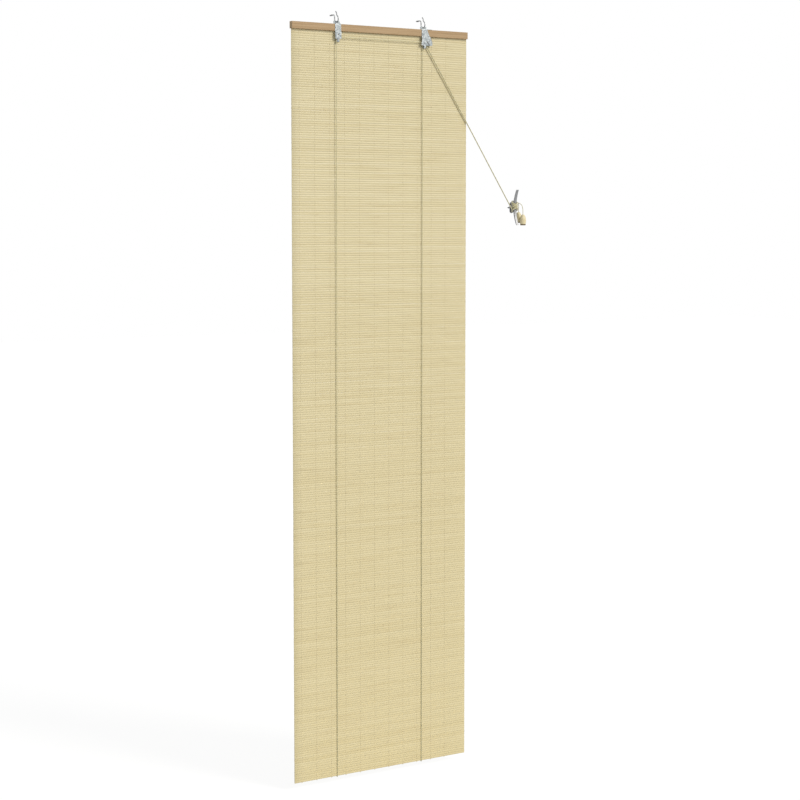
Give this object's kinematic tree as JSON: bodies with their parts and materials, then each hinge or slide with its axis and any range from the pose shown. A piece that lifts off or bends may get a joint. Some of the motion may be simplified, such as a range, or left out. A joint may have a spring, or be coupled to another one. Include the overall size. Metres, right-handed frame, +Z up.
{
  "type": "bamboo roll up blind",
  "caption": "Woven bamboo roll-up blind let down, with a wooden head rail, hook brackets, pulleys, a cord brake and cords wound on a wall cleat.",
  "frame": {"origin": "on the wall plane, midway between the two hook screws' axes", "axes": "+X towards the blind's right as seen from the room, +Y into the wall, +Z up"},
  "size_m": [0.8133, 0.0653, 2.2407],
  "materials": {
    "bamboo": "raw split bamboo",
    "pine": "planed, lightly oiled",
    "turned_wood": "turned and waxed",
    "thread": "cotton",
    "cord": "braided",
    "galvanised": "galvanised, spangled",
    "steel": "bright zinc plated",
    "cast_zinc": "cast, satin"
  },
  "bodies": {
    "blind": {"front_rail_batten": "pine", "back_rail_batten": "pine", "rail_nails": "steel", "bamboo_mat": "bamboo", "warp_threads": "thread", "left_bracket": "galvanised", "right_bracket": "galvanised", "bracket_screws": "steel", "left_pulley_axle": "steel", "right_pulley_axle": "steel", "left_hook": "steel", "right_hook": "steel", "cleat": "cast_zinc", "cleat_screw": "steel", "cord_winding": "cord", "left_lift_cord": "cord", "right_lift_cord": "cord", "left_pull_cord": "cord", "right_pull_cord": "cord", "cord_staples": "steel", "anchor_knots": "cord", "left_acorn": "turned_wood", "right_acorn": "turned_wood", "acorn_knots": "cord", "left_cord_tail": "cord", "right_cord_tail": "cord"},
    "left_pulley": {"left_pulley": "steel"},
    "right_pulley": {"right_pulley": "steel"},
    "brake": {"brake_pin": "steel"},
    "roller": {"brake_roller": "steel"}
  },
  "joints": [
    {"name": "left_pulley_spin", "type": "hinge", "parent": "blind", "child": "left_pulley", "pos_m": [-0.1498, -0.026, -0.068], "axis": [0, 1, 0], "continuous": true},
    {"name": "right_pulley_spin", "type": "hinge", "parent": "blind", "child": "right_pulley", "pos_m": [0.1468, -0.026, -0.068], "axis": [0, 1, 0], "continuous": true},
    {"name": "brake_slide", "type": "slide", "parent": "blind", "child": "brake", "axis": [-0.6947, 0, 0.7193], "range_m": [0, 0.011]},
    {"name": "brake_roller_spin", "type": "hinge", "parent": "brake", "child": "roller", "pos_m": [0.16255, -0.026, -0.07023], "axis": [0, 1, 0], "continuous": true}
  ],
  "couplings": [
    {"joint": "right_pulley_spin", "follows": "left_pulley_spin", "ratio": 1}
  ]
}
